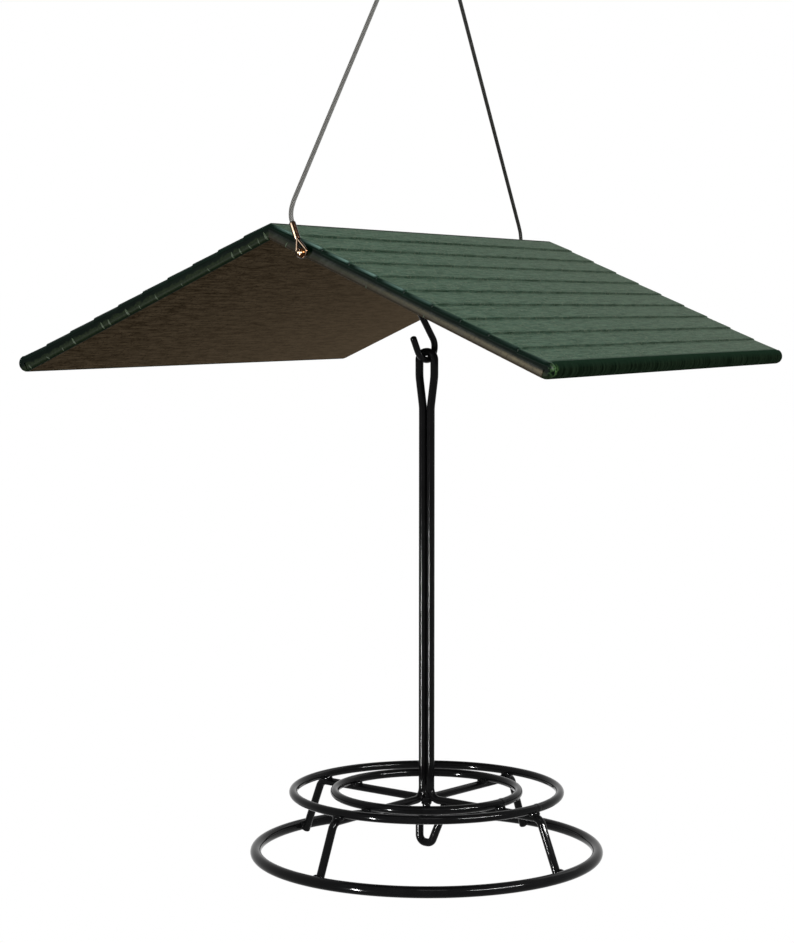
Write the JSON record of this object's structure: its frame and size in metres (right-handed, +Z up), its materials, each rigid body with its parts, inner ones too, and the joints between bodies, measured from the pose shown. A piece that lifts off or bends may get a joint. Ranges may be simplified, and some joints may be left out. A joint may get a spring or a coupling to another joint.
{
  "type": "hanging bird feeder",
  "caption": "Hanging bird feeder: a lapped gable roof on a cable bail, with an S hook under the ridge that carries a wire post, a ringed tray and a wide base ring.",
  "frame": {"origin": "the hanging point: where the underside of the cable's bight bears on what it hangs from, straight above the middle of the ridge", "axes": "+Z up, against the pull of gravity; Y runs along the ridge with the front gable toward -Y; +X is the right panel's side; the feeder hangs down along -Z"},
  "size_m": [0.331, 0.3996, 0.5941],
  "materials": {
    "green_cover": "satin",
    "tan_board": "matte",
    "black_fittings": "satin",
    "black_wire": "gloss",
    "coated_cable": "satin",
    "brass": "polished"
  },
  "bodies": {
    "hanger": {"hanger_cable": "coated_cable", "ferrule_front": "brass", "ferrule_back": "brass", "cable_eye_front": "brass", "cable_eye_back": "brass"},
    "roof": {"cover_right": "green_cover", "cover_left": "green_cover", "board_right": "tan_board", "board_left": "tan_board", "ridge_bracket": "black_fittings", "bracket_screws": "black_fittings", "ridge_eye": "black_fittings", "cable_screw_front": "brass", "cable_screw_back": "brass"},
    "hook": {"s_hook": "black_wire"},
    "tray": {"post_wire": "black_wire", "rear_leg_wire": "black_wire", "outer_tray_ring": "black_wire", "inner_tray_ring": "black_wire", "base_ring": "black_wire", "bottom_loop": "black_wire"}
  },
  "joints": [
    {"name": "roof_rock", "type": "hinge", "parent": "hanger", "child": "roof", "pos_m": [0, 0, -0.22329], "axis": [-0.1112, 0.9938, 0], "range_deg": [-28, 28]},
    {"name": "hook_swing", "type": "hinge", "parent": "roof", "child": "hook", "pos_m": [0, 0, -0.24766], "axis": [1, 0, 0], "range_deg": [-45, 45]},
    {"name": "tray_swing", "type": "hinge", "parent": "hook", "child": "tray", "pos_m": [0, 0, -0.28421], "axis": [0.1736, 0.9848, 0], "range_deg": [-40, 40]}
  ]
}
